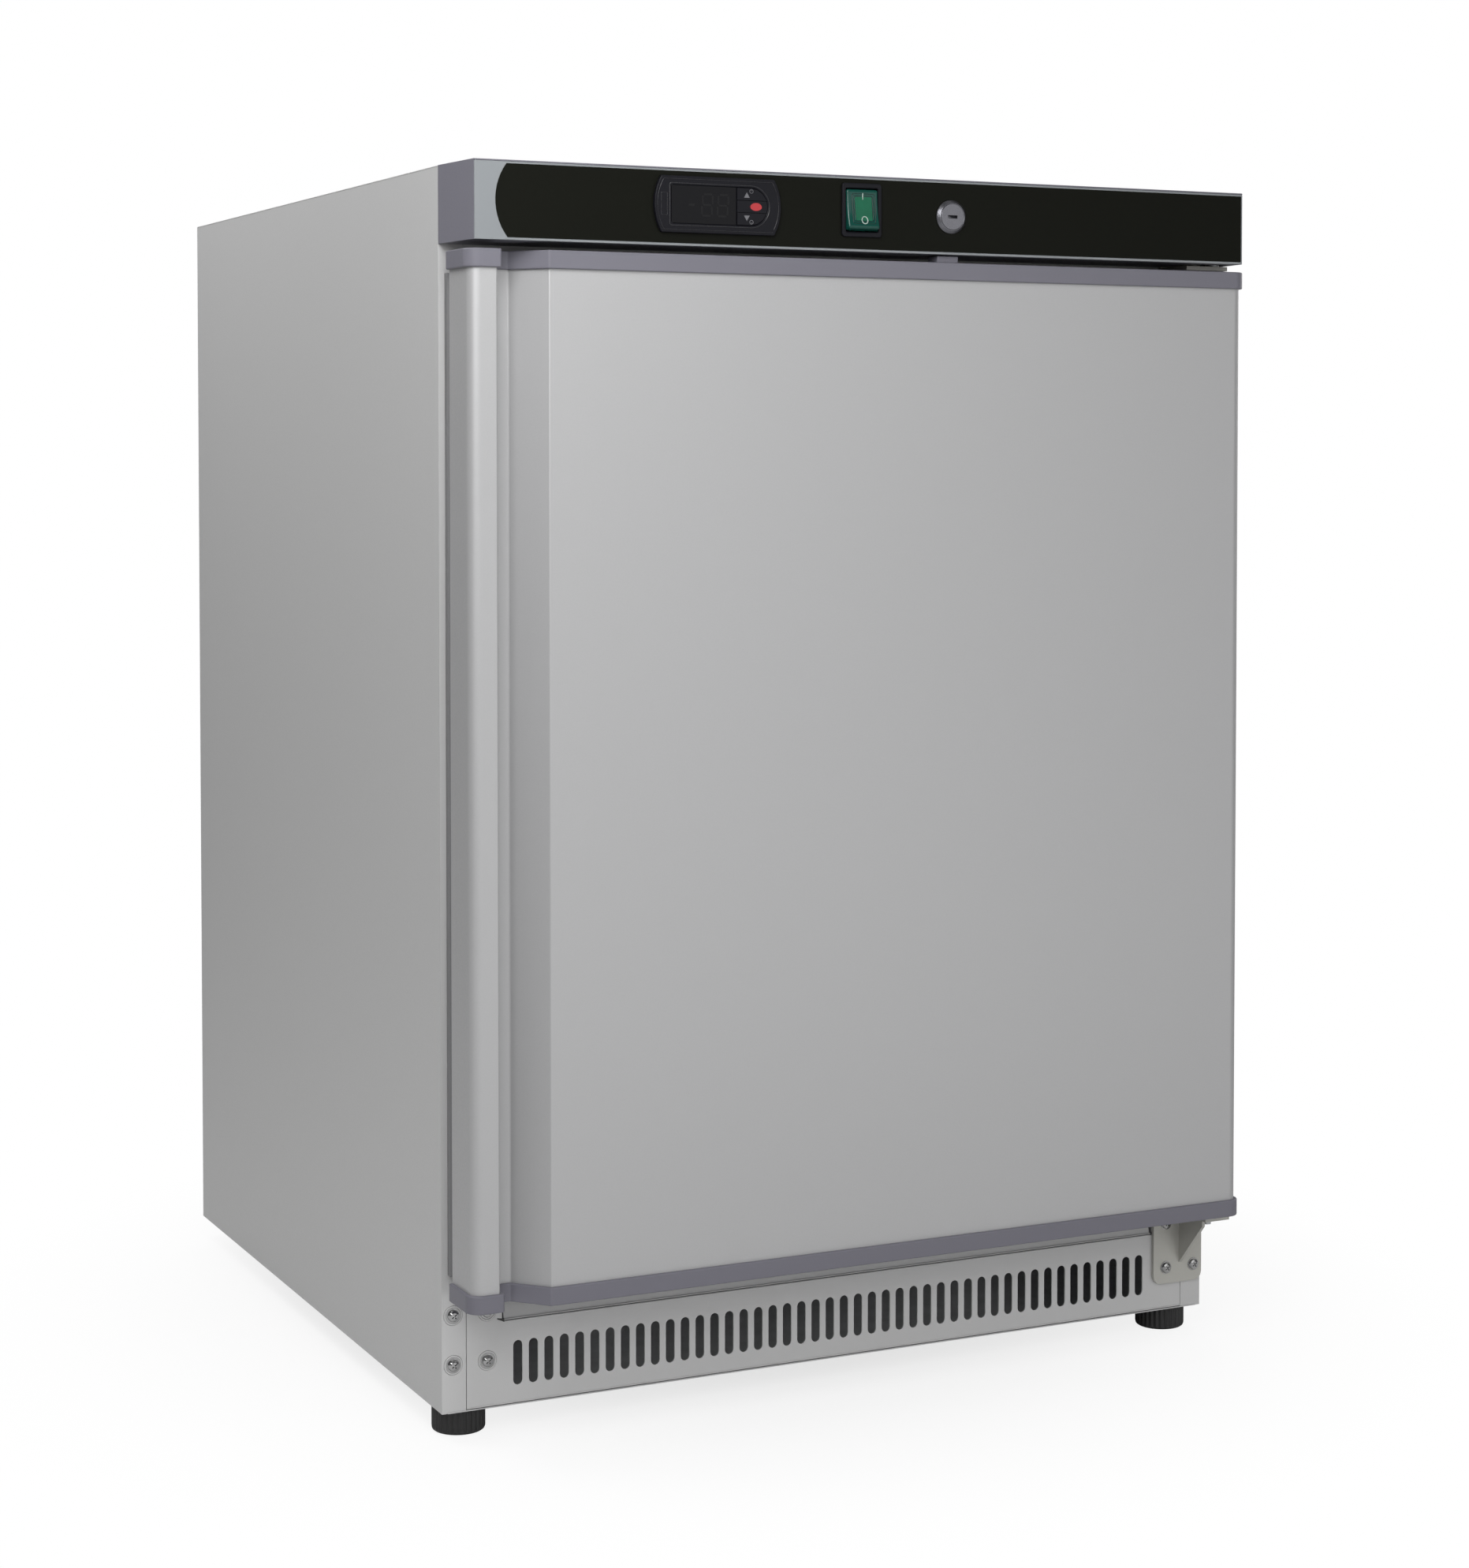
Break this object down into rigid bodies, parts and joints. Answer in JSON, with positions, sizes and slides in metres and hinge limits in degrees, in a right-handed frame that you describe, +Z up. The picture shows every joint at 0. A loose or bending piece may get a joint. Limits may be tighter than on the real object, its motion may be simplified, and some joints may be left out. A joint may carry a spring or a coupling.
{
  "type": "undercounter refrigerator",
  "caption": "Undercounter refrigerator with a hinged solid door, recessed side grip, control fascia with lock, slotted base grille, wire shelves and screw feet.",
  "frame": {"origin": "centre of the overall box on the floor", "axes": "+Z up, the door faces -Y, +X to the right seen from the front, so the hinge is at +X"},
  "size_m": [0.5985, 0.6367, 0.838],
  "materials": {
    "shell_grey": "satin",
    "door_steel": "satin",
    "zinc_steel": "satin",
    "bracket_steel": "satin",
    "screw_chrome": "polished",
    "lilac_plastic": "satin",
    "fascia_grey": "satin",
    "film_black": "satin",
    "control_black": "satin",
    "lens_black": "gloss",
    "rocker_green": "gloss",
    "lock_nickel": "satin",
    "white_abs": "satin",
    "foam": "matte",
    "gasket_grey": "matte",
    "shelf_wire": "gloss",
    "black_plastic": "matte",
    "fin_aluminium": "satin",
    "compressor_black": "satin",
    "copper": "satin",
    "rubber_black": "matte"
  },
  "bodies": {
    "cabinet": {"side_panel_left": "shell_grey", "side_panel_right": "shell_grey", "top_panel": "shell_grey", "back_panel": "zinc_steel", "base_tray": "zinc_steel", "machine_bay_shell": "zinc_steel", "cabinet_foam": "foam", "inner_liner": "white_abs", "front_frame": "shell_grey", "front_grille": "shell_grey", "grille_screws": "screw_chrome", "lower_hinge_bracket": "bracket_steel", "upper_hinge_bracket": "bracket_steel", "hinge_pins": "zinc_steel", "hinge_bracket_screws": "screw_chrome", "fascia_housing": "lilac_plastic", "fascia_front": "fascia_grey", "fascia_film": "film_black", "controller_case": "control_black", "controller_window": "lens_black", "switch_frame": "control_black", "lock_barrel": "lock_nickel", "evaporator_cover": "white_abs", "evaporator_coil": "fin_aluminium", "evaporator_fan_motor": "black_plastic", "temperature_probe": "black_plastic", "compressor": "compressor_black", "compressor_mounts": "rubber_black", "terminal_cover": "black_plastic", "condenser_coil": "compressor_black", "condenser_fan_motor": "black_plastic", "refrigerant_pipes": "copper", "filter_drier": "copper", "drip_tray": "black_plastic", "drain_hose": "white_abs", "rear_cover": "zinc_steel", "cable_gland": "black_plastic"},
    "door": {"door_skin": "door_steel", "door_cap_top": "lilac_plastic", "door_cap_bottom": "lilac_plastic", "door_liner": "white_abs", "door_foam": "foam", "door_gasket": "gasket_grey", "hinge_bushes": "white_abs", "door_strike": "lilac_plastic"},
    "lock": {"lock_plug": "lock_nickel", "lock_cam": "zinc_steel"},
    "rocker": {"switch_rocker": "rocker_green"},
    "up_key": {"key_up": "control_black"},
    "set_key": {"key_set": "control_black"},
    "down_key": {"key_down": "control_black"},
    "top_shelf": {"shelf_top": "shelf_wire"},
    "middle_shelf": {"shelf_middle": "shelf_wire"},
    "bottom_shelf": {"shelf_bottom": "shelf_wire"},
    "evaporator_fan": {"evaporator_fan_blades": "black_plastic"},
    "condenser_fan": {"condenser_fan_blades": "black_plastic"},
    "front_left_foot": {"foot_front_left": "rubber_black"},
    "front_right_foot": {"foot_front_right": "rubber_black"},
    "rear_left_foot": {"foot_rear_left": "rubber_black"},
    "rear_right_foot": {"foot_rear_right": "rubber_black"}
  },
  "joints": [
    {"name": "door_hinge", "type": "hinge", "parent": "cabinet", "child": "door", "pos_m": [0.286, -0.28551, 0.43925], "axis": [0, 0, 1], "range_deg": [0, 110]},
    {"name": "lock_turn", "type": "hinge", "parent": "cabinet", "child": "lock", "pos_m": [0.0528, -0.31151, 0.8126], "axis": [0, -1, 0], "range_deg": [0, 90]},
    {"name": "power_rocker", "type": "hinge", "parent": "cabinet", "child": "rocker", "pos_m": [-0.0168, -0.31151, 0.8147], "axis": [1, 0, 0], "range_deg": [0, 16]},
    {"name": "up_key_press", "type": "slide", "parent": "cabinet", "child": "up_key", "axis": [0, 1, 0], "range_m": [0, 0.0005], "stiffness_N_per_m": 400},
    {"name": "set_key_press", "type": "slide", "parent": "cabinet", "child": "set_key", "axis": [0, 1, 0], "range_m": [0, 0.0005], "stiffness_N_per_m": 400},
    {"name": "down_key_press", "type": "slide", "parent": "cabinet", "child": "down_key", "axis": [0, 1, 0], "range_m": [0, 0.0005], "stiffness_N_per_m": 400},
    {"name": "top_shelf_slide", "type": "slide", "parent": "cabinet", "child": "top_shelf", "axis": [0, -1, 0], "range_m": [0, 0.025]},
    {"name": "middle_shelf_slide", "type": "slide", "parent": "cabinet", "child": "middle_shelf", "axis": [0, -1, 0], "range_m": [0, 0.025]},
    {"name": "bottom_shelf_slide", "type": "slide", "parent": "cabinet", "child": "bottom_shelf", "axis": [0, -1, 0], "range_m": [0, 0.025]},
    {"name": "evaporator_fan_spin", "type": "hinge", "parent": "cabinet", "child": "evaporator_fan", "pos_m": [0, 0.21149, 0.648], "axis": [0, -1, 0], "continuous": true},
    {"name": "condenser_fan_spin", "type": "hinge", "parent": "cabinet", "child": "condenser_fan", "pos_m": [-0.15, 0.22649, 0.118], "axis": [0, 1, 0], "continuous": true},
    {"name": "front_left_foot_turn", "type": "hinge", "parent": "cabinet", "child": "front_left_foot", "pos_m": [-0.279, -0.23451, 0.009], "axis": [0, 0, 1], "continuous": true},
    {"name": "rear_left_foot_turn", "type": "hinge", "parent": "cabinet", "child": "rear_left_foot", "pos_m": [-0.253, 0.28849, 0.009], "axis": [0, 0, 1], "continuous": true},
    {"name": "front_right_foot_turn", "type": "hinge", "parent": "cabinet", "child": "front_right_foot", "pos_m": [0.279, -0.23451, 0.009], "axis": [0, 0, 1], "continuous": true},
    {"name": "rear_right_foot_turn", "type": "hinge", "parent": "cabinet", "child": "rear_right_foot", "pos_m": [0.253, 0.28849, 0.009], "axis": [0, 0, 1], "continuous": true}
  ]
}
